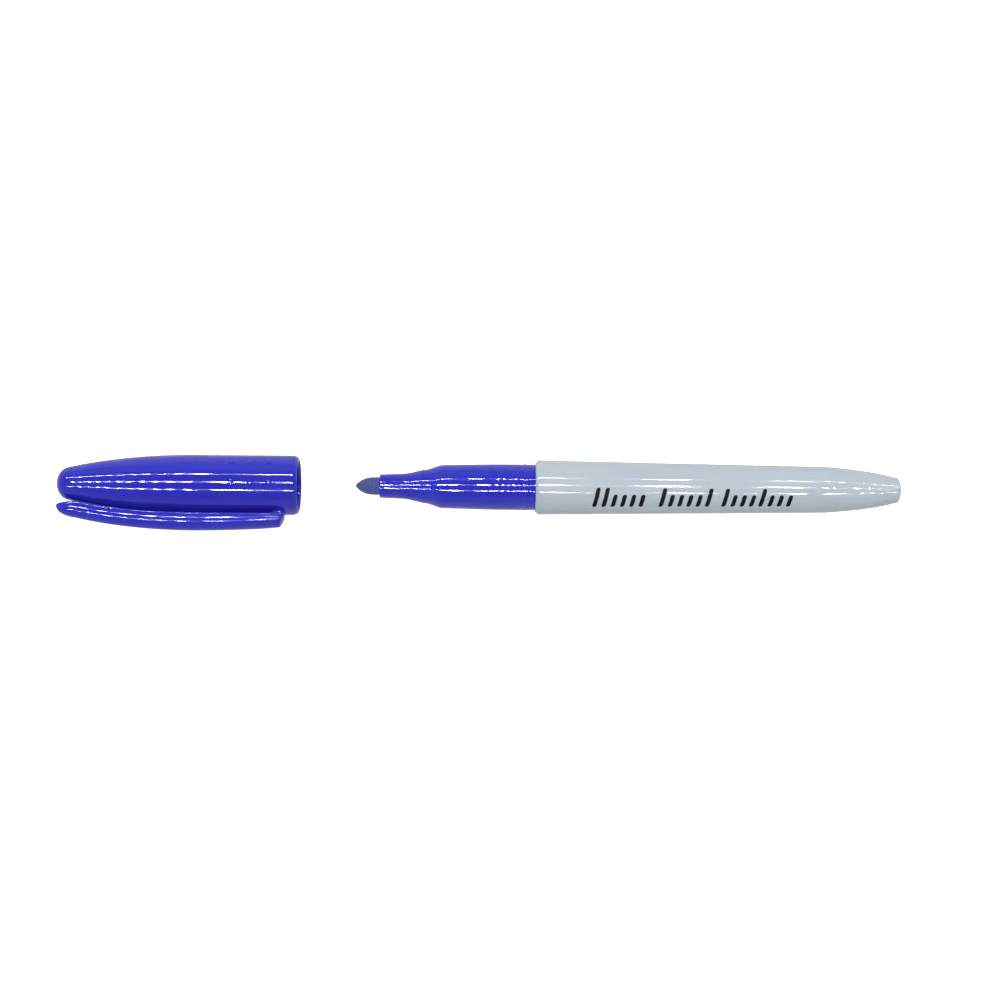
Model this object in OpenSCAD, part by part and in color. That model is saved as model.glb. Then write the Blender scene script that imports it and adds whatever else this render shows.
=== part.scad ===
// Slim dry-wipe marker with its cap off, in line with the nib.
// Millimetres. +X runs along the axis from the nib to the rear, +Z is up, and the
// origin is on the axis at the barrel's front shoulder, where the cap's rim seats.
// Every module is drawn as it sits with the cap on; cap_off() then draws the cap
// pieces off, by the distance that the cap slides.

/* [Barrel] */
// Length of the barrel from its shoulder to its rear end
barrel_len = 81.8; // [80:0.1:84]
// Radius of the barrel just behind its front lip
barrel_r = 6.08; // [6:0.01:6.15]
// Radius of the barrel's flat front face
lip_face_r = 5.45; // [5.35:0.01:5.6]
// Length of the chamfer on the front lip
lip_chamfer = 0.74; // [0.5:0.01:1]
// Radius of the barrel where its rear starts to close
tail_r = 5.15; // [5.1:0.01:5.25]
// Length of the closing rear
tail_len = 16.7; // [16:0.1:17.5]
// Length of the rounded end of the rear
dome_len = 0.9; // [0.7:0.1:1.5]

/* [Nib holder] */
// Radius of the collar that the cap slides on
collar_r = 5.1; // [5.05:0.01:5.15]
// Length of the parallel stretch of the collar
collar_len = 9; // [8:0.1:10]
// Distance from the shoulder to the front end of the collar
collar_reach = 20.4; // [20:0.1:21]
// Radius of the collar's front end
collar_front_r = 4.85; // [4.8:0.01:4.9]
// Height of the snap bead above the collar
bead_h = 0.12; // [0.05:0.01:0.15]
// Radius of the nose at its front
nose_r = 2.62; // [2.6:0.01:2.66]
// Distance from the shoulder to the front of the nose
nose_reach = 34.65; // [34.5:0.05:34.8]
// Length of the plug skirt inside the barrel
skirt_len = 12; // [10:0.5:14]

/* [Nib] */
// Distance from the shoulder to the nib's tip
tip_reach = 40.05; // [39.8:0.05:40.3]
// Radius of the nib
nib_r = 1.99; // [1.9:0.01:1.99]
// Length of the bullet point
point_len = 3.9; // [3.5:0.1:4.5]

/* [Cap] */
// Length of the cap
cap_len = 53.7; // [53.5:0.1:54.6]
// Radius of the cap at its mouth
cap_r = 6.64; // [6.6:0.01:6.7]
// Radius of the bore in the cap's mouth
mouth_r = 5.28; // [5.26:0.01:5.32]
// Distance that the cap slides from off to closed
travel = 52.7; // [45:0.1:70]
// Diameter of a grip dot
dot_d = 1.35; // [1:0.05:1.5]
// Height of a grip dot
dot_h = 0.25; // [0.1:0.01:0.3]

/* [Clip] */
// Angle of the clip above the horizontal
clip_angle = 20; // [-30:1:40]
// Half the clip's width
clip_half_w = 2.55; // [2.2:0.05:2.8]
// Thickness of the clip at its thickest
clip_t = 3.52; // [3.2:0.01:3.6]
// Gap between the cap and the inner face of the clip
clip_gap = 0.6; // [0.5:0.05:0.8]

/* [Hidden] */
$fn = 96;

// Barrel
tail_x = barrel_len - tail_len;
bore_r = 5.0;              // parallel bore that takes the plug skirt
bore_tail_r = 4.2;         // bore at the start of the closing rear
// Nib holder
bead_x = -2.3;
bead_half = 0.3;
nose_back_r = 2.78;        // nose where the flare starts
flare_x = -29.9;
flare_mid_x = -24.8;
flare_mid_r = 3.74;        // faint shoulder half-way up the flare
chamber_r = 4.1;           // chamber behind the nose, which takes the reservoir
skirt_gap = 0.02;
// Nib tail and reservoir
tail_pin_r = 1.4;
tail_pin_x = 11;
core_x = -4;
core_end = 66;
core_r = 3.95;
film_t = 0.06;
// Cap, with its mouth plane at seat_x when it is closed
seat_x = 0.1;
cap_tip = seat_x - cap_len;
cap_curve_len = 33;        // length over which the cap grows to its full radius
cap_curve_r = 3.55;
cap_curve_pow = 2.3;
cap_dome = 3;              // length of the domed closed end
rim_drop = 0.55;
rim_len = 0.9;
pocket_x = -31.06;         // step that the liner's flange sits on
pocket_r = 3.81;
flange_seat_r = 4.86;
pocket_end = -45;
run_gap = 0.06;            // running clearance of the liner in the cap
liner_r = pocket_r - run_gap;
liner_front = -44.5;
liner_back = -29.8;
seal_r = 2.87;
// Grip dots: rows of three, two rows on each side of the cap
dot_pitch = 4.06;
dot_first = 6.2;           // last dot of a row to the mouth
dot_rows = [-118, -74, 74, 118];  // angle of each row from the clip
// Clip, as distances s from the cap's closed tip
clip_tip = 0.15;
clip_root = 50.8;
clip_round = 5;            // length of the free end's rounding
clip_keep = 0.15;          // share of the thickness that its ends close towards
clip_slant = 0.75;         // how far the root end leans back at its crown
clip_level = 4.5;          // the free end runs level from here
foot_root = 51.6;
foot_half = 1.3;
foot_gap = 0.04;
ring_n = 24;

// Radii along the axis
function smooth(u) = u * u * (3 - 2 * u);
function barrel_tail(u) = tail_r - 1.45 * u - 1.15 * pow(u, 3);
function nib_point(d) = nib_r * pow(1 - pow(1 - d / point_len, 2), 0.75);
function cap_curve(s) =
    s >= cap_curve_len ? cap_r
    : cap_r - cap_curve_r * pow(1 - s / cap_curve_len, cap_curve_pow);
function cap_end(s) = cap_curve(s) * sqrt(1 - pow(1 - s / cap_dome, 3));

// A solid of revolution about X from points [x, radius]
module lathe(points)
    rotate([0, 90, 0]) rotate_extrude() polygon([for (p = points) [p[1], p[0]]]);

// Draws the cap's pieces off the marker
module cap_off() translate([-travel, 0, 0]) children();

module barrel() color("#c3cfd9") difference() {
    dome_u = 1 - dome_len / tail_len;
    lathe(concat(
        [[0, 0], [0, lip_face_r], [lip_chamfer * 0.8, barrel_r - 0.06], [lip_chamfer + 0.2, barrel_r]],
        [for (k = [0 : 10]) let (u = dome_u * k / 10) [tail_x + u * tail_len, barrel_tail(u)]],
        [for (a = [15 : 15 : 90])
            [barrel_len - dome_len + dome_len * sin(a), barrel_tail(dome_u) * cos(a)]]));
    lathe([[-1, 0], [-1, bore_r], [skirt_len + 0.3, bore_r], [tail_x, bore_tail_r],
           [tail_x + 10, 3], [tail_x + 13, 0]]);
}

module nib_holder() color("#4149bd") difference() {
    lathe(concat(
        [[-nose_reach, 0]],
        [for (a = [0 : 30 : 90]) [-nose_reach + 0.35 * (1 - cos(a)), nose_r - 0.35 + 0.35 * sin(a)]],
        [[flare_x, nose_back_r]],
        [for (k = [1 : 8]) let (u = k / 8)
            [flare_x + u * (flare_mid_x - flare_x),
             nose_back_r + (0.55 * smooth(u) + 0.45 * u * u) * (flare_mid_r - nose_back_r)]],
        [for (k = [1 : 8]) let (u = k / 8)
            [flare_mid_x - u * (flare_mid_x + collar_reach),
             flare_mid_r + smooth(u) * (collar_front_r - flare_mid_r)]],
        [[-collar_len, collar_r],
         [bead_x - bead_half, collar_r], [bead_x, collar_r + bead_h], [bead_x + bead_half, collar_r],
         [0, collar_r], [0, bore_r - skirt_gap],
         [skirt_len - 0.5, bore_r - skirt_gap], [skirt_len, bore_r - 0.4], [skirt_len, 0]]));
    lathe([[-nose_reach - 1, 0], [-nose_reach - 1, nib_r + 0.01], [-8, nib_r + 0.01],
           [-5, chamber_r], [skirt_len + 1, chamber_r], [skirt_len + 1, 0]]);
}

module nib() color("#354486")
    lathe(concat(
        [for (k = [0 : 10]) let (d = point_len * k / 10) [-tip_reach + d, nib_point(d)]],
        [[-8.5, nib_r], [-7.5, tail_pin_r], [tail_pin_x - 1, tail_pin_r], [tail_pin_x, 0.6],
         [tail_pin_x, 0]]));

module ink_reservoir() color("#3a3f9a") difference() {
    lathe([[core_x, 0], [core_x, core_r], [core_end, core_r], [core_end, 0]]);
    lathe([[core_x - 1, 0], [core_x - 1, tail_pin_r + 0.01], [tail_pin_x + 0.1, tail_pin_r + 0.01],
           [tail_pin_x + 0.1, 0]]);
}

module reservoir_film() color("#e6e9ee") difference() {
    lathe([[core_x, 0], [core_x, core_r + film_t], [core_end, core_r + film_t], [core_end, 0]]);
    lathe([[core_x - 1, 0], [core_x - 1, core_r + 0.005], [core_end + 1, core_r + 0.005],
           [core_end + 1, 0]]);
}

// Soft liner: a cup whose lip runs on the nose, with a flange on the cap's step
module inner_cap() color("#dfe3ea") cap_off()
    lathe([[liner_front, 0], [liner_front, liner_r - 0.6], [liner_front + 0.6, liner_r],
           [pocket_x + run_gap, liner_r], [pocket_x + run_gap, flange_seat_r - run_gap],
           [liner_back, flange_seat_r - run_gap], [liner_back, seal_r + 0.4],
           [liner_back - 0.6, seal_r], [liner_back - 3.2, seal_r], [liner_back - 3.6, 3.1],
           [liner_front + 1.1, 3.1], [liner_front + 1.1, 0]]);

module cap_outline()
    lathe(concat(
        [for (a = [0 : 15 : 75]) let (s = cap_dome * (1 - cos(a))) [cap_tip + s, cap_end(s)]],
        [for (k = [0 : 14]) let (s = cap_dome + (cap_curve_len - cap_dome) * k / 14)
            [cap_tip + s, cap_curve(s)]],
        [[seat_x - rim_len, cap_r]],
        [for (a = [30 : 30 : 90]) [seat_x - rim_len * (1 - sin(a)), cap_r - rim_drop * (1 - cos(a))]],
        [[seat_x, 0]]));

// One low, domed grip dot on the cap's surface
module grip_dot() {
    dot_sphere = (pow(dot_d / 2, 2) + pow(dot_h, 2)) / (2 * dot_h);
    translate([0, -(cap_r + dot_h - dot_sphere), 0]) sphere(r = dot_sphere, $fn = 48);
}

module cap() color("#413ec3") cap_off() difference() {
    union() {
        cap_outline();
        for (turn = dot_rows, k = [0 : 2])
            rotate([-clip_angle - turn, 0, 0])
                translate([seat_x - dot_first - k * dot_pitch, 0, 0]) grip_dot();
    }
    lathe([[seat_x + 1, 0], [seat_x + 1, mouth_r + 0.44], [seat_x, mouth_r + 0.44],
           [seat_x - 0.4, mouth_r], [-23, mouth_r], [-25.2, flange_seat_r],
           [pocket_x, flange_seat_r], [pocket_x, pocket_r], [pocket_end, pocket_r],
           [pocket_end - 4, 1.6], [pocket_end - 4, 0]]);
}

// The clip's inner face, thickness and half width at distance s from the cap's tip
function clip_inner(s) = cap_curve(max(s, clip_level)) + clip_gap;
function clip_thick(s) =
    let (u = (s - 28) / 22) clip_t - (u < 0 ? 0.2 : 0.85) * u * u;
function clip_half(s) = clip_half_w - (s < 30 ? 0.5 * pow(1 - s / 30, 2) : 0);

// Rings of the blade: [s, scale of the whole section, scale of its width]
clip_rings = concat(
    [for (a = [10 : 10 : 80]) [clip_tip + clip_round * (1 - cos(a)), sin(a), 1]],
    [for (s = [clip_tip + clip_round : 2.7 : 46]) [s, 1, 1]],
    [for (u = [0 : 0.2 : 0.8]) [clip_root - 3 * (0.8 - u), 1, sqrt(1 - u * u)]]);

// A D section: an elliptic crown on a flat inner face with rounded corners
function clip_point(ring, a) =
    let (s = ring[0], t = clip_thick(s), corner = 0.5,
         side = a < 180 ? cos(a) : sign(cos(a)) * sqrt(abs(cos(a))),
         rise = a < 180 ? corner + (t - corner) * sin(a) : corner - corner * sqrt(abs(sin(a))),
         w = clip_keep * t + (rise - clip_keep * t) * ring[1],
         slant = clip_slant * smooth(min(max((s - 44) / 6, 0), 1)))
    [cap_tip + s - slant * rise / t, -(clip_inner(s) + w), clip_half(s) * side * ring[1] * ring[2]];

module clip_blade() {
    rings = len(clip_rings);
    points = [for (ring = clip_rings, j = [0 : ring_n - 1]) clip_point(ring, 360 * j / ring_n)];
    sides = [for (i = [0 : rings - 2], j = [0 : ring_n - 1])
        let (a = i * ring_n + j, b = i * ring_n + (j + 1) % ring_n)
        each [[a, a + ring_n, b], [b, a + ring_n, b + ring_n]]];
    ends = [[for (j = [0 : ring_n - 1]) j],
            [for (j = [ring_n - 1 : -1 : 0]) (rings - 1) * ring_n + j]];
    polyhedron(points, concat(sides, ends));
}

// Foot that joins the blade to the cap, cut to the cap's round surface
module clip_foot() difference() {
    linear_extrude(height = 2 * foot_half, center = true)
        polygon([for (p = [[48.2, 7.6], [48.2, 6.5], [foot_root, 6.5], [51, 6.85],
                           [50.4, 7.2], [50.05, 7.6]])
            [cap_tip + p[0], -p[1]]]);
    rotate([0, 90, 0]) cylinder(r = cap_r + foot_gap, h = 4 * cap_len, center = true);
}

module clip() color("#515fbe") cap_off() rotate([-clip_angle, 0, 0]) {
    clip_blade();
    clip_foot();
}

barrel();
nib_holder();
nib();
ink_reservoir();
reservoir_film();
inner_cap();
cap();
clip();
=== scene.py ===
"""Looks of a slim dry-wipe marker with its cap off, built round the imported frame."""

import math

import bmesh
import bpy
from mathutils import Matrix, Vector, noise


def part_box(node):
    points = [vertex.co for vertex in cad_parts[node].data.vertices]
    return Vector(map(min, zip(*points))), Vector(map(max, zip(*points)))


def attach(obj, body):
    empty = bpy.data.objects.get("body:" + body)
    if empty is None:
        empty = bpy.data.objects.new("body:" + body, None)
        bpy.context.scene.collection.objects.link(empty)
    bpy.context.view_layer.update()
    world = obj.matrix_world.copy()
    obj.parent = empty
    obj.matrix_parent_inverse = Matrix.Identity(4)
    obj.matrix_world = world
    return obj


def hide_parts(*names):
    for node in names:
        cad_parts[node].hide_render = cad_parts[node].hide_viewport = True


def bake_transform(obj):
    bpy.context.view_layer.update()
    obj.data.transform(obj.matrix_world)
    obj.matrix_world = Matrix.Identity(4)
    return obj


bl_info = {
    "name": "Dry-wipe Marker",
    "version": (1, 0, 0),
    "blender": (4, 5, 0),
    "location": "3D View > Sidebar > Marker",
    "description": "Builds the pieces, finishes and studio of a slim dry-wipe marker",
    "category": "Object",
}

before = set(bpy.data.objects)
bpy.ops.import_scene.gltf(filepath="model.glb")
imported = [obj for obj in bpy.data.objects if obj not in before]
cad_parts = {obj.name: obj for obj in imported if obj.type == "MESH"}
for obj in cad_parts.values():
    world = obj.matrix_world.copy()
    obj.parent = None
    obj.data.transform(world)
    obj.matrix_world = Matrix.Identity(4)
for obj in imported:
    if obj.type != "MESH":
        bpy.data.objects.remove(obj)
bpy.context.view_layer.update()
MM = 0.001

BARREL_LOW, BARREL_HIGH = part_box("barrel")
NOSE_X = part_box("nib_holder")[0].x
NIB_LOW, NIB_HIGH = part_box("nib")
CAP_LOW, CAP_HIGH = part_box("cap")
CAP_CURVE = 33 * MM  # length over which the cap grows to its full radius
ON_AXIS = 1e-7  # a smaller radius in metres counts as a point on the axis
NOISE_LOW, NOISE_HIGH = 0.35, 0.65  # most of a noise texture's values lie between these


# Sizes and colours -------------------------------------------------------------------


def linear(code):
    """The linear colour of an sRGB hex value."""
    parts = [int(code[i : i + 2], 16) / 255 for i in (1, 3, 5)]
    return [c / 12.92 if c <= 0.04045 else ((c + 0.055) / 1.055) ** 2.4 for c in parts]


def length(name, description, size_mm):
    """A length property, kept in metres."""
    return bpy.props.FloatProperty(
        name=name, description=description, default=size_mm * MM, unit="LENGTH", precision=5
    )


def angle(name, description, degrees):
    """An angle property."""
    return bpy.props.FloatProperty(
        name=name, description=description, default=math.radians(degrees), subtype="ANGLE"
    )


def factor(name, description, value):
    """A property between 0 and 1."""
    return bpy.props.FloatProperty(
        name=name, description=description, default=value, min=0, max=1, subtype="FACTOR"
    )


def colour(name, description, code):
    """A colour property from an sRGB hex value."""
    return bpy.props.FloatVectorProperty(
        name=name, description=description, default=linear(code), min=0, max=1, subtype="COLOR"
    )


class MarkerSizes(bpy.types.PropertyGroup):
    """Sizes of the moulded pieces that the frame's boxes don't give."""

    lip_face: length("Lip face", "Radius of the barrel's flat front face", 5.45)
    lip_chamfer: length("Lip chamfer", "Length of the chamfer on the barrel's lip", 0.74)
    tail_radius: length("Tail radius", "Radius of the barrel where its rear starts to close", 5.15)
    tail_length: length("Tail length", "Length of the barrel's closing rear", 16.7)
    tail_dome: length("Tail dome", "Length of the rounded rear end", 0.9)
    bore: length("Barrel bore", "Radius of the bore that takes the plug skirt", 5.0)
    skirt: length("Skirt", "Length of the plug skirt inside the barrel", 12)
    collar: length("Collar", "Radius of the collar that the cap slides on", 5.1)
    collar_front: length("Collar front", "Radius of the collar's front end", 4.85)
    collar_reach: length("Collar reach", "Shoulder to the collar's front end", 20.4)
    bead: length("Snap bead", "Height of the snap bead on the collar", 0.12)
    nose: length("Nose", "Radius of the nose at its front", 2.62)
    nose_back: length("Nose back", "Radius of the nose where its flare starts", 2.78)
    nib: length("Nib", "Radius of the felt nib", 1.99)
    point: length("Point", "Length of the nib's bullet point", 3.9)
    cap: length("Cap", "Radius of the cap at its mouth", 6.64)
    cap_bore: length("Cap bore", "Radius of the bore in the cap's mouth", 5.28)
    dot_radius: length("Grip dot", "Radius of a grip dot", 0.675)
    dot_height: length("Grip dot height", "Height of a grip dot", 0.25)
    clip_angle: angle("Clip angle", "Angle of the clip above the horizontal", 20)
    clip_half: length("Clip half width", "Half the clip's width", 2.55)
    clip_thick: length("Clip thickness", "Thickness of the clip at its thickest", 3.52)
    clip_gap: length("Clip gap", "Gap between the cap and the clip's inner face", 0.6)


class MarkerPrint(bpy.types.PropertyGroup):
    """The generic printed marks on the barrel."""

    stroke: length("Stroke", "Width of a printed stroke", 0.95)
    pitch: length("Pitch", "Distance between printed strokes", 2.05)
    film: length("Ink film", "Height of the ink above the barrel", 0.02)
    slant: factor("Slant", "Lean of the strokes, as run over rise", 0.2)
    ink: colour("Ink", "Pad-printed ink", "#0A0A12")


class MarkerColours(bpy.types.PropertyGroup):
    """Colours of the moulded and fibrous pieces."""

    blue: colour("Blue", "Dyed polypropylene of cap, clip and nib holder", "#272CB2")
    blue_deep: colour("Deep blue", "Darker streaks in the dyed polypropylene", "#2322A6")
    barrel: colour("Barrel", "Pale blue-grey polypropylene", "#A9B4BE")
    barrel_warm: colour("Barrel mottle", "Slight mottle of the barrel", "#AFB8C1")
    felt: colour("Felt", "Ink-soaked felt", "#33479A")
    # Painted shade: the darker felt colour, given to the hollows of the fibre bump
    felt_hollow_painted_shade: colour("Felt shade", "Hollows between the fibres", "#1A2758")


class MarkerStudio(bpy.types.PropertyGroup):
    """Camera and light."""

    camera_height: length("Camera height", "Camera above the marker's axis", 411)
    camera_x: length("Camera place", "Camera along the axis from the shoulder", -14)
    aim_x: length("Aim", "Point along the axis that the camera looks at", -7.8)
    aim_y: length("Aim across", "Point across the axis that the camera looks at", -2.9)
    frame_width: length("Frame width", "Width that the view covers at the axis", 223.1)
    roll: angle("Roll", "Turn of the camera about its own line of sight", 0.48)
    strip_height: length("Strip height", "Light strips above the axis", 900)


# Meshes ------------------------------------------------------------------------------


def smooth_step(u):
    """0 to 1 with a level start and end."""
    return u * u * (3 - 2 * u)


def outline(corners, steps=5):
    """Points (x, radius) from corners (x, radius) or (x, radius, rounding)."""
    points = []
    for i, corner in enumerate(corners):
        here = Vector(corner[:2])
        if len(corner) < 3 or i in (0, len(corners) - 1):
            points.append(here)
            continue
        before, after = Vector(corners[i - 1][:2]), Vector(corners[i + 1][:2])
        ends = []
        for other in (before, after):
            way = other - here
            ends.append(here + way.normalized() * min(corner[2], 0.45 * way.length))
        for k in range(steps + 1):
            u = k / steps
            points.append(ends[0] * (1 - u) ** 2 + here * 2 * u * (1 - u) + ends[1] * u * u)
    return points


def new_piece(name, shape, finish, body, sharp=35):
    """A shown piece from a bmesh, with its finish, body and material slot."""
    bmesh.ops.recalc_face_normals(shape, faces=shape.faces)
    mesh = bpy.data.meshes.new(name)
    shape.to_mesh(mesh)
    shape.free()
    for polygon in mesh.polygons:
        polygon.use_smooth = True
    mesh.set_sharp_from_angle(angle=math.radians(sharp))
    mesh.materials.append(finish)
    piece = bpy.data.objects.new(name, mesh)
    bpy.context.scene.collection.objects.link(piece)
    if body:
        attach(piece, body)
    return piece


def turned(profile, closed=False, segments=160):
    """A bmesh turned about X from points (x, radius) in metres."""
    shape = bmesh.new()
    rings = []
    for x, radius in profile:
        if radius < ON_AXIS:
            rings.append([shape.verts.new((x, 0, 0))])
            continue
        turns = [2 * math.pi * j / segments for j in range(segments)]
        rings.append([shape.verts.new((x, radius * math.cos(t), radius * math.sin(t))) for t in turns])
    pairs = list(zip(rings, rings[1:] + rings[:1]))
    for ring, following in pairs if closed else pairs[:-1]:
        for j in range(segments):
            k = (j + 1) % segments
            corners = [ring[j % len(ring)], ring[k % len(ring)]]
            corners += [following[k % len(following)], following[j % len(following)]]
            distinct = list(dict.fromkeys(corners))
            if len(distinct) > 2:
                shape.faces.new(distinct)
    return shape


def loft(shape, rings):
    """Closed skin over rings of points, all with the same count."""
    made = [[shape.verts.new(point) for point in ring] for ring in rings]
    count = len(made[0])
    for ring, following in zip(made, made[1:]):
        for j in range(count):
            k = (j + 1) % count
            shape.faces.new((ring[j], ring[k], following[k], following[j]))
    shape.faces.new(made[0])
    shape.faces.new(reversed(made[-1]))


# Materials ---------------------------------------------------------------------------


def add_node(tree, kind, inputs=None, **settings):
    """A node with its settings, values and links."""
    node = tree.nodes.new(kind)
    for key, value in settings.items():
        setattr(node, key, value)
    for key, value in (inputs or {}).items():
        if isinstance(value, bpy.types.NodeSocket):
            tree.links.new(value, node.inputs[key])
        else:
            node.inputs[key].default_value = value
    return node


def new_material(name):
    """An empty node material and its tree."""
    material = bpy.data.materials.new(name)
    material.use_nodes = True
    material.node_tree.nodes.clear()
    return material, material.node_tree


def grain(tree, size_mm, stretch=(1, 1, 1), detail=3.0):
    """Noise whose features are size_mm across, drawn out by stretch."""
    place = add_node(tree, "ShaderNodeTexCoord")
    squeeze = add_node(
        tree,
        "ShaderNodeMapping",
        {"Vector": place.outputs["Object"], "Scale": [1 / s for s in stretch]},
    )
    return add_node(
        tree,
        "ShaderNodeTexNoise",
        {"Vector": squeeze.outputs["Vector"], "Scale": 1 / (size_mm * MM), "Detail": detail},
    )


def between(tree, amount, low, high):
    """A value or colour from low to high as a noise goes from its low to its high values."""
    is_colour = not isinstance(low, (int, float))
    if not is_colour:
        return add_node(
            tree,
            "ShaderNodeMapRange",
            {
                "Value": amount,
                "From Min": NOISE_LOW,
                "From Max": NOISE_HIGH,
                "To Min": low,
                "To Max": high,
            },
        ).outputs["Result"]
    ramp = add_node(tree, "ShaderNodeValToRGB", {"Fac": amount})
    ends = ((NOISE_LOW, low), (NOISE_HIGH, high))
    for stop, (position, tone) in zip(ramp.color_ramp.elements, ends):
        stop.position, stop.color = position, (*tone, 1)
    return ramp.outputs["Color"]


def finish_with(tree, bump_from, bump_mm, inputs):
    """Principled shader with a bump, wired to the output."""
    bump = add_node(
        tree,
        "ShaderNodeBump",
        {"Height": bump_from, "Distance": bump_mm * MM, "Strength": 1.0},
    )
    shader = add_node(
        tree, "ShaderNodeBsdfPrincipled", {**inputs, "Normal": bump.outputs["Normal"]}
    )
    add_node(tree, "ShaderNodeOutputMaterial", {"Surface": shader.outputs["BSDF"]})


def moulded_blue_polypropylene(tree):
    """Polypropylene, dyed blue and moulded in a polished tool: glossy, a little wavy."""
    colours = bpy.context.scene.marker_colours
    # Flow of the dye along the mould, in streaks of about 2 mm by 30 mm
    flow = grain(tree, 2.0, stretch=(15, 1, 1), detail=2.0)
    # Fine scuffs from handling, 0.4 mm wide
    scuff = grain(tree, 0.4, stretch=(6, 1, 1), detail=4.0)
    # Shrinkage ripple of the skin, 1.5 mm
    ripple = grain(tree, 1.5, detail=1.0)
    finish_with(
        tree,
        ripple.outputs["Fac"],
        0.0008,
        {
            "Base Color": between(
                tree, flow.outputs["Fac"], list(colours.blue_deep), list(colours.blue)
            ),
            "Roughness": between(tree, scuff.outputs["Fac"], 0.03, 0.08),
            "IOR": 1.49,
        },
    )


def moulded_pale_polypropylene(tree):
    """Polypropylene, filled pale grey and moulded smooth: glossy, faintly translucent."""
    colours = bpy.context.scene.marker_colours
    cloud = grain(tree, 6.0, stretch=(4, 1, 1), detail=2.0)
    scuff = grain(tree, 0.5, stretch=(5, 1, 1), detail=4.0)
    ripple = grain(tree, 2.0, detail=1.0)
    finish_with(
        tree,
        ripple.outputs["Fac"],
        0.0008,
        {
            "Base Color": between(
                tree, cloud.outputs["Fac"], list(colours.barrel), list(colours.barrel_warm)
            ),
            "Roughness": between(tree, scuff.outputs["Fac"], 0.05, 0.1),
            "IOR": 1.49,
            "Subsurface Weight": 0.08,
            "Subsurface Scale": 0.8 * MM,
        },
    )


def bonded_acrylic_felt(tree):
    """Acrylic felt, bonded and ground to a point, soaked with ink: matt and fibrous."""
    colours = bpy.context.scene.marker_colours
    # Fibres of about 0.05 mm, drawn at 0.16 mm so that they show
    fibre = grain(tree, 0.16, stretch=(4, 1, 1), detail=5.0)
    finish_with(
        tree,
        fibre.outputs["Fac"],
        0.12,
        {
            # Fibre pattern that also drives the bump, so its hollows get the darker colour as painted shade
            # between the fibres
            "Base Color": between(
                tree, fibre.outputs["Fac"], list(colours.felt_hollow_painted_shade), list(colours.felt)
            ),
            "Roughness": 0.85,
            "Sheen Weight": 0.25,
            "Sheen Roughness": 0.5,
        },
    )


def pad_printed_ink(tree):
    """Pad-printing ink: a thin, slightly uneven black film with a dull gloss."""
    ink = list(bpy.context.scene.marker_print.ink)
    # Unevenness of the pad, 0.3 mm
    pad = grain(tree, 0.3, detail=4.0)
    finish_with(
        tree,
        pad.outputs["Fac"],
        0.004,
        {
            "Base Color": between(tree, pad.outputs["Fac"], ink, [1.6 * c + 0.004 for c in ink]),
            "Roughness": between(tree, pad.outputs["Fac"], 0.5, 0.65),
            "Specular IOR Level": 0.06,
        },
    )


def moulded_milky_polyethylene(tree):
    """Polyethylene, moulded soft and milky: satin."""
    cloud = grain(tree, 1.5, detail=2.0)
    finish_with(
        tree,
        cloud.outputs["Fac"],
        0.006,
        {
            "Base Color": between(tree, cloud.outputs["Fac"], linear("#CFD6E2"), linear("#DDE2EA")),
            "Roughness": 0.42,
            "IOR": 1.51,
            "Subsurface Weight": 0.2,
            "Subsurface Scale": 0.6 * MM,
        },
    )


def drawn_polyester_fibre(tree):
    """Polyester fibre, drawn into a rod and soaked with ink: matt, with lengthwise strands."""
    strand = grain(tree, 0.12, stretch=(30, 1, 1), detail=4.0)
    finish_with(
        tree,
        strand.outputs["Fac"],
        0.08,
        {
            "Base Color": between(tree, strand.outputs["Fac"], linear("#23286B"), linear("#3A43A8")),
            "Roughness": 0.8,
        },
    )


def blown_polypropylene_film(tree):
    """Polypropylene film, blown thin and clear: glossy, with faint wrinkles."""
    wrinkle = grain(tree, 1.2, stretch=(1, 4, 4), detail=2.0)
    finish_with(
        tree,
        wrinkle.outputs["Fac"],
        0.02,
        {
            "Base Color": between(tree, wrinkle.outputs["Fac"], linear("#DDE3EC"), linear("#EEF1F5")),
            "Roughness": 0.15,
            "Transmission Weight": 0.6,
            "IOR": 1.49,
        },
    )


def shared(maker):
    """The material that a maker fills, made once and named for it."""
    material = bpy.data.materials.get(maker.__name__)
    if material is None:
        material, tree = new_material(maker.__name__)
        maker(tree)
    return material


# Profiles ----------------------------------------------------------------------------


def tail_radius(u):
    """Radius of the barrel's closing rear, u from 0 at its start to 1 at its end."""
    taper, closing = 1.45 * MM, 1.15 * MM
    return bpy.context.scene.marker_sizes.tail_radius - taper * u - closing * u**3


def barrel_profile():
    """Outside and inside of the barrel."""
    sizes = bpy.context.scene.marker_sizes
    end, radius = BARREL_HIGH.x, BARREL_HIGH.z
    tail_x, tail_bore, cone_bore = end - sizes.tail_length, 4.2 * MM, 3 * MM
    cone_x, inside_end = tail_x + 10 * MM, tail_x + 13 * MM
    dome_u = 1 - sizes.tail_dome / sizes.tail_length
    front_steps, tail_steps, dome_steps = 12, 30, 10
    outside = [
        (0, sizes.bore),
        (0, sizes.lip_face, 0.15 * MM),
        (0.8 * sizes.lip_chamfer, radius - 0.06 * MM, 0.12 * MM),
        (sizes.lip_chamfer + 0.2 * MM, radius),
    ]
    for k in range(1, front_steps):
        u = k / front_steps
        outside.append((tail_x * u, radius + (tail_radius(0) - radius) * u))
    for k in range(tail_steps + 1):
        u = dome_u * k / tail_steps
        outside.append((tail_x + u * sizes.tail_length, tail_radius(u)))
    for k in range(1, dome_steps + 1):
        turn = math.pi / 2 * k / dome_steps
        x = end - sizes.tail_dome * (1 - math.sin(turn))
        outside.append((x, tail_radius(dome_u) * math.cos(turn)))
    inside = [
        (inside_end, 0),
        (cone_x, cone_bore, 0.5 * MM),
        (tail_x, tail_bore),
        (sizes.skirt + 0.3 * MM, sizes.bore),
        (0, sizes.bore),
    ]
    return outline(outside), outline(inside)


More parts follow.
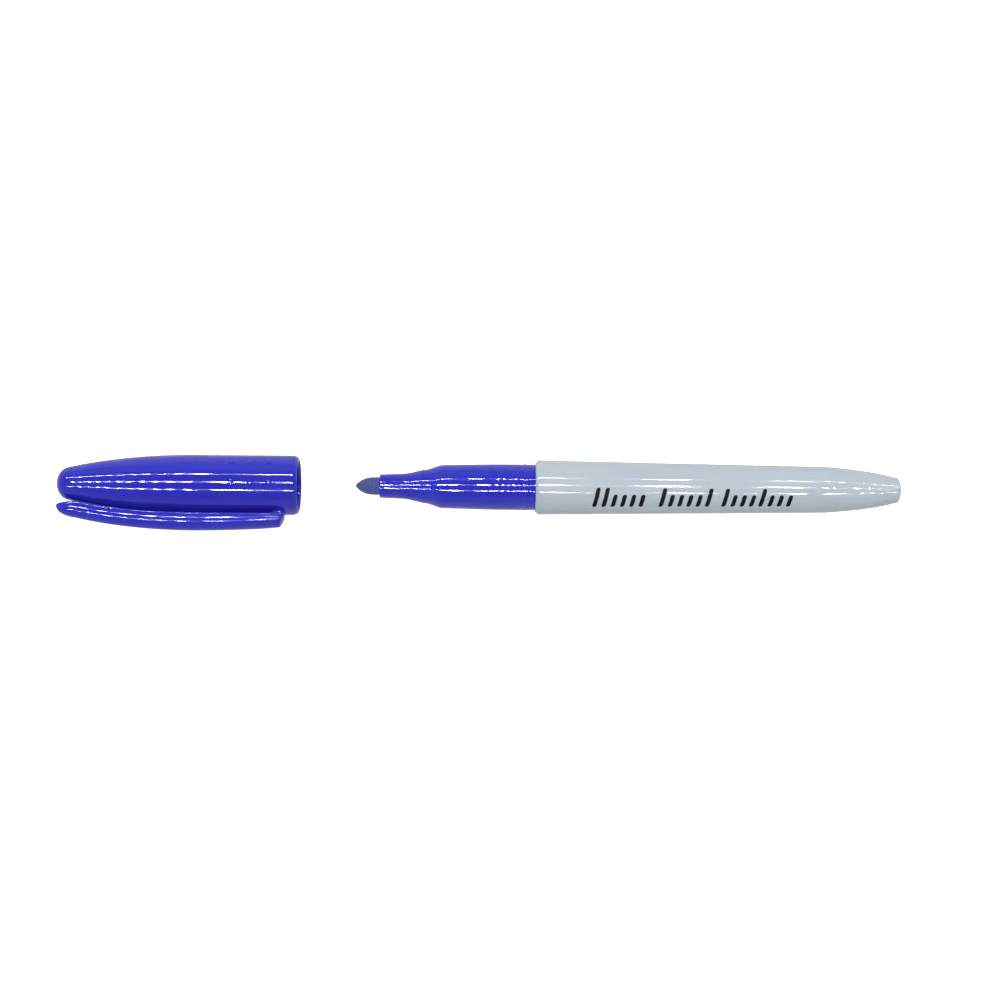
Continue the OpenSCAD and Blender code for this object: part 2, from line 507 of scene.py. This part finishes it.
def holder_profile():
    """Closed outline of the nib holder: nose, flare, collar, bead, skirt and bores."""
    sizes = bpy.context.scene.marker_sizes
    flare_x, middle_x, middle_r = -29.9 * MM, -24.8 * MM, 3.74 * MM
    collar_x, bead_x, bead_half = -9 * MM, -2.3 * MM, 0.3 * MM
    nose_bore, nose_bore_end = sizes.nib + 0.01 * MM, -8 * MM
    chamber, chamber_end = 4.1 * MM, -5 * MM
    skirt_radius = sizes.bore - 0.02 * MM
    # Share of the flare that starts and ends level, and the rest only starts level
    even, steps, bead_steps = 0.55, 16, 10
    points = [
        (NOSE_X, nose_bore),
        (NOSE_X, sizes.nose, 0.45 * MM),
        (NOSE_X + 1.2 * MM, sizes.nose + 0.04 * MM),
    ]
    for k in range(steps + 1):
        u = k / steps
        rise = (even * smooth_step(u) + (1 - even) * u * u) * (middle_r - sizes.nose_back)
        points.append((flare_x + u * (middle_x - flare_x), sizes.nose_back + rise))
    for k in range(1, steps + 1):
        u = k / steps
        rise = smooth_step(u) * (sizes.collar_front - middle_r)
        points.append((middle_x + u * (-sizes.collar_reach - middle_x), middle_r + rise))
    points.append((collar_x, sizes.collar))
    for k in range(bead_steps + 1):
        u = k / bead_steps
        height = sizes.bead * math.sin(math.pi * u) ** 1.5
        points.append((bead_x + bead_half * (2 * u - 1), sizes.collar + height))
    points += [
        (0, sizes.collar, 0.05 * MM),
        (0, skirt_radius),
        (sizes.skirt - 0.5 * MM, skirt_radius, 0.2 * MM),
        (sizes.skirt, sizes.bore - 0.4 * MM, 0.2 * MM),
        (sizes.skirt, chamber),
        (chamber_end, chamber, 0.3 * MM),
        (nose_bore_end, nose_bore, 0.3 * MM),
        (NOSE_X, nose_bore),
    ]
    return outline(points)[:-1]


def cap_radius(s):
    """Outer radius of the cap at distance s from its closed end."""
    full, drop, power = bpy.context.scene.marker_sizes.cap, 3.55 * MM, 2.3
    return full if s >= CAP_CURVE else full - drop * (1 - s / CAP_CURVE) ** power


def cap_profile():
    """Outside and inside of the cap, from its closed end to its mouth and back in."""
    sizes = bpy.context.scene.marker_sizes
    tip, mouth, dome = CAP_LOW.x, CAP_HIGH.x, 3 * MM
    # Radii inside the cap, and the places along the axis where they change
    seat, pocket, floor = 4.86 * MM, 3.81 * MM, 1.6 * MM
    bore_end, seat_start, seat_end = mouth - 23.1 * MM, mouth - 25.3 * MM, mouth - 31.16 * MM
    pocket_end, floor_x = mouth - 45.1 * MM, mouth - 49.1 * MM
    dome_steps, curve_steps = 16, 48
    outside = []
    for k in range(dome_steps):
        turn = math.pi / 2 * k / dome_steps
        s = dome * (1 - math.cos(turn))
        outside.append((tip + s, cap_radius(s) * math.sqrt(1 - (1 - s / dome) ** 3)))
    for k in range(curve_steps + 1):
        s = dome + (CAP_CURVE - dome) * k / curve_steps
        outside.append((tip + s, cap_radius(s)))
    outside += [
        (mouth - 2 * MM, sizes.cap),
        (mouth - 0.85 * MM, sizes.cap, 0.5 * MM),
        (mouth - 0.12 * MM, sizes.cap - 0.4 * MM, 0.35 * MM),
        (mouth, sizes.cap - 0.62 * MM, 0.12 * MM),
        (mouth, sizes.cap_bore + 0.44 * MM, 0.08 * MM),
        (mouth - 0.5 * MM, sizes.cap_bore, 0.12 * MM),
        (bore_end, sizes.cap_bore, 0.3 * MM),
        (seat_start, seat, 0.3 * MM),
        (seat_end, seat, 0.1 * MM),
        (seat_end, pocket, 0.1 * MM),
        (pocket_end, pocket, 0.3 * MM),
        (floor_x, floor, 0.3 * MM),
        (floor_x, 0),
    ]
    return outline(outside)


# Clip --------------------------------------------------------------------------------


def clip_inner(s_mm):
    """Axis to the clip's inner face, s_mm from the cap's closed end, in mm."""
    level = 4.5  # nearer the closed end than this the face stays level
    return (cap_radius(max(s_mm, level) * MM) + bpy.context.scene.marker_sizes.clip_gap) / MM


def clip_thick(s_mm):
    """Thickness of the clip in mm."""
    thickest_at, run, towards_tip, towards_root = 28, 22, 0.2, 0.85
    u = (s_mm - thickest_at) / run
    thinning = (towards_tip if u < 0 else towards_root) * u * u
    return bpy.context.scene.marker_sizes.clip_thick / MM - thinning


def clip_half(s_mm):
    """Half the clip's width in mm."""
    full, narrowing, run = bpy.context.scene.marker_sizes.clip_half / MM, 0.5, 30
    return full - (narrowing * (1 - s_mm / run) ** 2 if s_mm < run else 0)


def clip_frame():
    """Turns the clip's own axes (along, across, out) into the row's axes."""
    lift = bpy.context.scene.marker_sizes.clip_angle
    out = Vector((0, -math.cos(lift), math.sin(lift)))
    across = Vector((0, math.sin(lift), math.cos(lift)))
    turn = Matrix((Vector((1, 0, 0)), across, out)).transposed()
    return lambda s, v, w: turn @ Vector((s, v, w)) * MM + Vector((CAP_LOW.x, 0, 0))


def clip_rings(count=56):
    """Rings of points along the blade, free end first, from sizes in mm."""
    tip, rounding, root, corner, keep = 0.15, 5, 50.8, 0.5, 0.15
    root_round, root_narrow, edge_from, edge_drop = 3, 0.8, 0.84, 0.3
    lean, lean_from, lean_over = 0.75, 44, 6
    tip_steps, blade_steps, root_steps = 14, 44, 16
    # Each stop is a place along the blade, a scale of the section and a scale of its width
    stops = []
    for k in range(1, tip_steps):
        turn = math.pi / 2 * k / tip_steps
        stops.append((tip + rounding * (1 - math.cos(turn)), math.sin(turn), 1.0))
    plain = root - root_round - tip - rounding
    for k in range(blade_steps):
        stops.append((tip + rounding + plain * k / blade_steps, 1.0, 1.0))
    for k in range(root_steps + 1):
        u = math.sin(math.pi / 2 * k / root_steps)
        edge = min(max((u - edge_from) / (1 - edge_from), 0), 1)
        scale = 1 - edge_drop * (1 - math.sqrt(1 - edge**2))
        stops.append((root - root_round * (1 - u), scale, math.sqrt(1 - (root_narrow * u) ** 2)))
    place = clip_frame()
    rings = []
    for s, scale, width in stops:
        thick = clip_thick(s)
        slant = lean * smooth_step(min(max((s - lean_from) / lean_over, 0), 1))
        ring = []
        for j in range(count):
            turn = 2 * math.pi * j / count
            side, up = math.cos(turn), math.sin(turn)
            rise = corner + (thick - corner) * up
            if up < 0:  # the underside is squarer than the back
                side = math.copysign(abs(side) ** 0.5, side)
                rise = corner - corner * (-up) ** 0.5
            w = keep * thick + (rise - keep * thick) * scale
            along = s - slant * rise / thick
            ring.append(place(along, clip_half(s) * side * scale * width, clip_inner(s) + w))
        rings.append(ring)
    return rings


def foot_rings(count=48):
    """Rings of the clip's foot, from the cap's surface up into the blade, in mm."""
    heights = (0, 0.06, 0.14, 0.26, 0.42, 0.62, 0.9, 1.25, 1.6)
    front_end, back_end, half_width, corner = 48.2, 50.05, 1.3, 0.6
    flare, flare_height, back_run, back_height = 0.3, 0.5, 1.4, 1.1
    surface = bpy.context.scene.marker_sizes.cap / MM - 0.03
    place = clip_frame()
    rings = []
    for height in heights:
        spread = flare * max(0, 1 - height / flare_height) ** 2
        back = back_end + back_run * max(0, 1 - height / back_height) ** 1.6
        front = front_end - spread
        half = half_width + spread
        ring = []
        for j in range(count):
            turn = 2 * math.pi * j / count
            side = math.copysign(abs(math.cos(turn)) ** corner, math.cos(turn))
            along = math.copysign(abs(math.sin(turn)) ** corner, math.sin(turn))
            v = half * side
            s = (back + front) / 2 + (back - front) / 2 * along
            ring.append(place(s, v, math.sqrt(surface**2 - v * v) + height))
        rings.append(ring)
    return rings


# Operators ---------------------------------------------------------------------------


class MARKER_OT_barrel(bpy.types.Operator):
    """Barrel, one pale moulding closed at the rear"""

    bl_idname = "marker.barrel"
    bl_label = "Barrel"

    def execute(self, context):
        outside, inside = barrel_profile()
        shape = turned(outside + inside[:-1], closed=True)
        barrel = new_piece("barrel_shell", shape, shared(moulded_pale_polypropylene), "marker")
        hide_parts("barrel")
        return {"FINISHED"}


class MARKER_OT_nib_holder(bpy.types.Operator):
    """Nib holder, with its nose, flare, collar, snap bead and plug skirt"""

    bl_idname = "marker.nib_holder"
    bl_label = "Nib holder"

    def execute(self, context):
        shape, finish = turned(holder_profile(), closed=True), shared(moulded_blue_polypropylene)
        holder = new_piece("nib_holder_shell", shape, finish, "marker")
        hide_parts("nib_holder")
        return {"FINISHED"}


class MARKER_OT_nib(bpy.types.Operator):
    """Felt nib, a bullet point with a slightly fuzzy surface and a long tail"""

    bl_idname = "marker.nib"
    bl_label = "Nib"

    def execute(self, context):
        sizes = context.scene.marker_sizes
        tip, point, steps, tail_pin = NIB_LOW.x, sizes.point, 40, 1.4 * MM
        profile = []
        for k in range(steps + 1):
            along = point * (k / steps) ** 1.5
            shape_factor = 1 - (1 - along / point) ** 2
            profile.append((tip + along, sizes.nib * shape_factor**0.75))
        profile += [(tip + point + 0.15 * MM * k, sizes.nib) for k in range(1, 10)]
        profile += [
            (-8.5 * MM, sizes.nib),
            (-7.5 * MM, tail_pin),
            (NIB_HIGH.x - 1 * MM, tail_pin),
            (NIB_HIGH.x, 0.6 * MM),
            (NIB_HIGH.x, 0),
        ]
        shape = turned(profile, segments=120)
        # Lumps of about 1 mm and 0.4 mm, mostly pressed in from the smooth point
        fuzz, sink, coarse, fine = 0.03 * MM, 0.6, 900, 2600
        for vertex in shape.verts:
            if tip < vertex.co.x < NOSE_X - 0.1 * MM:
                lump = noise.noise(vertex.co * coarse) + 0.5 * noise.noise(vertex.co * fine)
                radial = Vector((0, vertex.co.y, vertex.co.z))
                if radial.length > 0:
                    vertex.co += radial.normalized() * fuzz * (lump - sink)
        nib = new_piece("nib_felt", shape, shared(bonded_acrylic_felt), "marker", sharp=60)
        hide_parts("nib")
        return {"FINISHED"}


class MARKER_OT_print(bpy.types.Operator):
    """Three groups of plain slanted strokes that spell nothing"""

    bl_idname = "marker.print"
    bl_label = "Print"

    def execute(self, context):
        marks = context.scene.marker_print
        radius, tail = BARREL_HIGH.z, tail_radius(0)
        tail_x = BARREL_HIGH.x - context.scene.marker_sizes.tail_length
        # Start of each group along the barrel, and its strokes: 1 is tall and 0 is short
        groups = (
            (12.9, (1, 1, 0, 0, 0, 0)),
            (27.6, (1, 0, 0, 0, 0, 1)),
            (41.5, (1, 0, 0, 0, 1, 0, 0, 0)),
        )
        base_turn, steps, tall_rise, short_rise = math.radians(46), 14, 4.9 * MM, 3.3 * MM
        # Share of the film sunk into the barrel, and least share of the width at a stroke's ends
        sunk, least, columns = 0.4, 0.12, (-1, -0.4, 0.4, 1)
        for number, (start_mm, strokes) in enumerate(groups, 1):
            shape = bmesh.new()
            for place, tall in enumerate(strokes):
                rise = tall_rise if tall else short_rise
                skins = []
                for lift in (-sunk * marks.film, marks.film):
                    rows = []
                    for k in range(steps + 1):
                        up = rise * (0.5 - 0.5 * math.cos(math.pi * k / steps))
                        x = start_mm * MM + place * marks.pitch + marks.slant * up
                        end = min(up, rise - up) / (0.5 * marks.stroke)
                        half = 0.5 * marks.stroke * math.sqrt(1 - (1 - min(end, 1)) ** 2)
                        half = max(half, least * marks.stroke)
                        row = []
                        for side in columns:
                            along = x + side * half
                            r = radius + (tail - radius) * along / tail_x + lift
                            turn = base_turn - up / radius
                            row.append(Vector((along, -r * math.sin(turn), r * math.cos(turn))))
                        rows.append(row)
                    skins.append(rows)
                loft(shape, [low + high[::-1] for low, high in zip(*skins)])
            ink = shared(pad_printed_ink)
            new_piece(f"print_group_{number}", shape, ink, "marker")
        return {"FINISHED"}


class MARKER_OT_cap(bpy.types.Operator):
    """Cap shell, closed and domed at one end"""

    bl_idname = "marker.cap"
    bl_label = "Cap"

    def execute(self, context):
        shape = turned(cap_profile(), segments=192)
        cap = new_piece("cap_shell", shape, shared(moulded_blue_polypropylene), "cap")
        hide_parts("cap")
        return {"FINISHED"}


class MARKER_OT_grip_dots(bpy.types.Operator):
    """Low domed grip dots, in rows of three round the cap's mouth"""

    bl_idname = "marker.grip_dots"
    bl_label = "Grip dots"

    def execute(self, context):
        sizes = context.scene.marker_sizes
        # Angle of each row from the clip, and the distance of its last dot from the mouth
        rows, per_row, pitch, last = (-118, -74, 74, 118), 3, 4.06 * MM, 6.2 * MM
        sunk, sides = 0.05 * MM, 28
        # Share of the dot's radius at each share of its height, from its foot to its top
        dome = ((1.0, 0.0), (0.94, 0.3), (0.82, 0.62), (0.62, 0.86), (0.36, 0.97), (0.1, 1.0))
        shape = bmesh.new()
        for row in rows:
            turn = sizes.clip_angle + math.radians(row)
            out = Vector((0, -math.cos(turn), math.sin(turn)))
            across = Vector((0, math.sin(turn), math.cos(turn)))
            for k in range(per_row):
                centre = Vector((CAP_HIGH.x - last - k * pitch, 0, 0)) + out * sizes.cap
                levels = [(1.0, -sunk)] + [(share, high * sizes.dot_height) for share, high in dome]
                rings = []
                for share, rise in levels:
                    reach = share * sizes.dot_radius
                    turns = [2 * math.pi * j / sides for j in range(sides)]
                    rings.append([
                        centre + out * rise
                        + Vector((1, 0, 0)) * reach * math.cos(t)
                        + across * reach * math.sin(t)
                        for t in turns
                    ])
                loft(shape, rings)
        new_piece("grip_dots", shape, shared(moulded_blue_polypropylene), "cap", sharp=60)
        return {"FINISHED"}


class MARKER_OT_clip(bpy.types.Operator):
    """Pocket clip, with its foot on the cap near the cap's mouth"""

    bl_idname = "marker.clip"
    bl_label = "Clip"

    def execute(self, context):
        shape = bmesh.new()
        loft(shape, clip_rings())
        loft(shape, foot_rings())
        clip = new_piece("clip_blade", shape, shared(moulded_blue_polypropylene), None)
        place, bend_from, bend_to, height = clip_frame(), 46.5, 34, 7
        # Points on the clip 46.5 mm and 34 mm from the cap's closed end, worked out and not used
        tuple(place(bend_from, 0, height))
        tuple(place(bend_to, 0, height))
        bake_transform(clip)
        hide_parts("clip")
        return {"FINISHED"}


class MARKER_OT_insides(bpy.types.Operator):
    """Finishes of the liner, fibre core and film, whose CAD shapes are right"""

    bl_idname = "marker.insides"
    bl_label = "Insides"

    def execute(self, context):
        makers = {
            "inner_cap": moulded_milky_polyethylene,
            "ink_reservoir": drawn_polyester_fibre,
            "reservoir_film": blown_polypropylene_film,
        }
        for node, maker in makers.items():
            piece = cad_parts[node]
            for place in piece.material_slots:
                place.material = shared(maker)
        return {"FINISHED"}


class MARKER_OT_studio(bpy.types.Operator):
    """White table and backdrop, light strips, soft light and camera"""

    bl_idname = "marker.studio"
    bl_label = "Studio"

    def execute(self, context):
        self.table(context)
        self.backdrop(context)
        self.strips(context)
        self.soft_light(context)
        self.camera(context)
        return {"FINISHED"}

    def seen_only(self, thing, *kinds):
        """Leaves a stage piece visible only to these kinds of ray."""
        for kind in ("camera", "diffuse", "glossy", "transmission", "shadow"):
            setattr(thing, "visible_" + kind, kind in kinds)

    def stage_piece(self, context, name, shape, material):
        """An object of the stage from a bmesh."""
        mesh = bpy.data.meshes.new(name)
        shape.to_mesh(mesh)
        shape.free()
        mesh.materials.append(material)
        thing = bpy.data.objects.new(name, mesh)
        context.scene.collection.objects.link(thing)
        return thing

    def table(self, context):
        """A white table that the cap's mouth and the barrel's lip both rest on."""
        sizes = context.scene.marker_sizes
        gap = BARREL_LOW.x - CAP_HIGH.x
        slope = math.atan((sizes.cap - BARREL_HIGH.z) / gap)
        half, under = 2.5, 0.2 * MM
        # The camera sees the white top, and the marker is lit by the greyer one just below it.
        # Each has a grey level, a glow and a drop.
        for name, level, glow, drop in (("table", 0.9, 0.78, 0), ("table_bounce", 0.62, 0, under)):
            material, tree = new_material(name)
            paper = grain(tree, 1.0)
            tones = [(level + step,) * 3 for step in (-0.01, 0.01)]
            finish_with(
                tree,
                paper.outputs["Fac"],
                0.002,
                {
                    "Base Color": between(tree, paper.outputs["Fac"], *tones),
                    "Roughness": 0.7,
                    "Emission Color": (1, 1, 1, 1),
                    "Emission Strength": glow,
                },
            )
            shape = bmesh.new()
            corners = [(-half, -half), (half, -half), (half, half), (-half, half)]
            shape.faces.new([shape.verts.new((x, y, 0)) for x, y in corners])
            table = self.stage_piece(context, name, shape, material)
            table.location = (0, 0, -BARREL_HIGH.z - drop)
            table.rotation_euler = (0, -slope, 0)
            self.seen_only(table, *(("diffuse", "glossy", "transmission") if drop else ("camera",)))

    def backdrop(self, context):
        """A white dome round the table, seen only by the camera."""
        material, tree = new_material("backdrop_white")
        glow = add_node(tree, "ShaderNodeEmission", {"Color": (1, 1, 1, 1), "Strength": 1.0})
        add_node(tree, "ShaderNodeOutputMaterial", {"Surface": glow.outputs["Emission"]})
        shape = bmesh.new()
        dome_radius = 2.4
        bmesh.ops.create_uvsphere(shape, u_segments=48, v_segments=24, radius=dome_radius)
        self.seen_only(self.stage_piece(context, "backdrop", shape, material), "camera")

    def strips(self, context):
        """Three rows of light-emitting strips above the marker, seen only in its gloss."""
        height = context.scene.marker_studio.strip_height
        # Leans of the rows in degrees from straight up, seen from the marker
        leans, dim_span = (40.0, 9.0, -21.0), (-0.75, 0.03)
        # Strength of each kind of strip, its half width and its drop below the row
        kinds = {"strip_dim": (2.5, 0.04, 0), "strip_bright": (160.0, 0.028, 0.002)}
        for name, (strength, half, drop) in kinds.items():
            material, tree = new_material(name)
            glow = add_node(tree, "ShaderNodeEmission", {"Color": (0.93, 0.95, 1, 1), "Strength": strength})
            add_node(tree, "ShaderNodeOutputMaterial", {"Surface": glow.outputs["Emission"]})
            for row, lean in enumerate(leans):
                y = height * math.tan(math.radians(lean))
                stretch = 1 / math.cos(math.radians(lean))
                shape = bmesh.new()
                spans = [dim_span] if name == "strip_dim" else self.dashes(row)
                for start, end in spans:
                    corners = [(start, -half), (end, -half), (end, half), (start, half)]
                    shape.faces.new(
                        [shape.verts.new((x * stretch, y + v, height - drop)) for x, v in corners]
                    )
                self.seen_only(self.stage_piece(context, f"{name}_{row}", shape, material), "glossy")

    def dashes(self, row):
        """Start and end of each bright dash in a row, in metres along the strip."""
        long_dash, short_dash, short_pitch, shift = 0.017, 0.004, 0.008, 0.006
        # Close together over the cap and nib holder, and further apart over the barrel
        near, far = 0.05, 0.085
        starts = [near * k for k in range(-15, 1)] + [near + far * k for k in range(10)]
        spans = []
        for cluster, start in enumerate(starts):
            start += shift * row
            if (cluster * 2 + row) % 3:
                spans.append((start, start + long_dash))
            else:
                shorts = [start + short_pitch * k for k in range(3)]
                spans += [(short, short + short_dash) for short in shorts]
        return spans

    def soft_light(self, context):
        """White surroundings, darker overhead, and a broad soft lamp."""
        world = bpy.data.worlds.new("surroundings")
        world.use_nodes = True
        tree = world.node_tree
        tree.nodes.clear()
        place = add_node(tree, "ShaderNodeTexCoord")
        split = add_node(tree, "ShaderNodeSeparateXYZ", {"Vector": place.outputs["Generated"]})
        ramp = add_node(tree, "ShaderNodeValToRGB", {"Fac": split.outputs["Z"]})
        # Slightly green from below, as off a worktop, through grey to dark overhead
        stops = ramp.color_ramp.elements
        stops[0].position, stops[0].color = 0.0, (0.52, 0.64, 0.61, 1)
        stops[1].position, stops[1].color = 1.0, (0.15, 0.15, 0.16, 1)
        for position, level in ((0.35, 0.55), (0.62, 0.3)):
            stop = stops.new(position)
            stop.color = (level, level, level, 1)
        sky = add_node(tree, "ShaderNodeBackground", {"Color": ramp.outputs["Color"], "Strength": 1.0})
        add_node(tree, "ShaderNodeOutputWorld", {"Surface": sky.outputs["Background"]})
        context.scene.world = world
        across, watts, lamp_place = 0.9, 14, (-0.1, 0.25, 1.1)
        lamp = bpy.data.lights.new("softbox", "AREA")
        lamp.shape, lamp.size, lamp.energy = "DISK", across, watts
        softbox = bpy.data.objects.new("softbox", lamp)
        softbox.location = lamp_place
        softbox.rotation_euler = (-softbox.location).to_track_quat("-Z", "Y").to_euler()
        softbox.visible_glossy = False
        context.scene.collection.objects.link(softbox)

    def camera(self, context):
        """Camera nearly straight above, turned a little about its own axis."""
        studio = context.scene.marker_studio
        place = Vector((studio.camera_x, studio.aim_y, studio.camera_height))
        aim = Vector((studio.aim_x, studio.aim_y, 0))
        sensor = 36  # mm, the full frame's width
        lens = bpy.data.cameras.new("camera")
        lens.sensor_width = sensor
        lens.lens = sensor * (place - aim).length / studio.frame_width
        camera = bpy.data.objects.new("camera", lens)
        away = (place - aim).normalized()
        right = Vector((0, 1, 0)).cross(away).normalized()
        turn = Matrix((right, away.cross(right), away)).transposed().to_4x4()
        camera.matrix_world = Matrix.Translation(place) @ turn @ Matrix.Rotation(studio.roll, 4, "Z")
        context.scene.collection.objects.link(camera)
        context.scene.camera = camera
        context.scene.view_settings.view_transform = "Standard"


class MARKER_PT_panel(bpy.types.Panel):
    """Lists the marker's pieces, sizes and colours"""

    bl_idname = "MARKER_PT_panel"
    bl_label = "Marker"
    bl_space_type = "VIEW_3D"
    bl_region_type = "UI"
    bl_category = "Marker"

    def draw(self, context):
        for operator in OPERATORS:
            self.layout.operator(operator.bl_idname)
        for name, group in GROUPS.items():
            column = self.layout.column(align=True)
            for field in group.__annotations__:
                column.prop(getattr(context.scene, name), field)


GROUPS = {
    "marker_sizes": MarkerSizes,
    "marker_print": MarkerPrint,
    "marker_colours": MarkerColours,
    "marker_studio": MarkerStudio,
}
OPERATORS = (
    MARKER_OT_barrel,
    MARKER_OT_nib_holder,
    MARKER_OT_nib,
    MARKER_OT_print,
    MARKER_OT_cap,
    MARKER_OT_grip_dots,
    MARKER_OT_clip,
    MARKER_OT_insides,
    MARKER_OT_studio,
)


def register():
    for cls in (*GROUPS.values(), *OPERATORS, MARKER_PT_panel):
        bpy.utils.register_class(cls)
    for name, group in GROUPS.items():
        setattr(bpy.types.Scene, name, bpy.props.PointerProperty(type=group))


def unregister():
    for name in GROUPS:
        delattr(bpy.types.Scene, name)
    for cls in reversed((*GROUPS.values(), *OPERATORS, MARKER_PT_panel)):
        bpy.utils.unregister_class(cls)


def main():
    register()
    for operator in OPERATORS:
        getattr(bpy.ops.marker, operator.bl_idname.split(".")[1])()


if __name__ == "__main__":
    main()
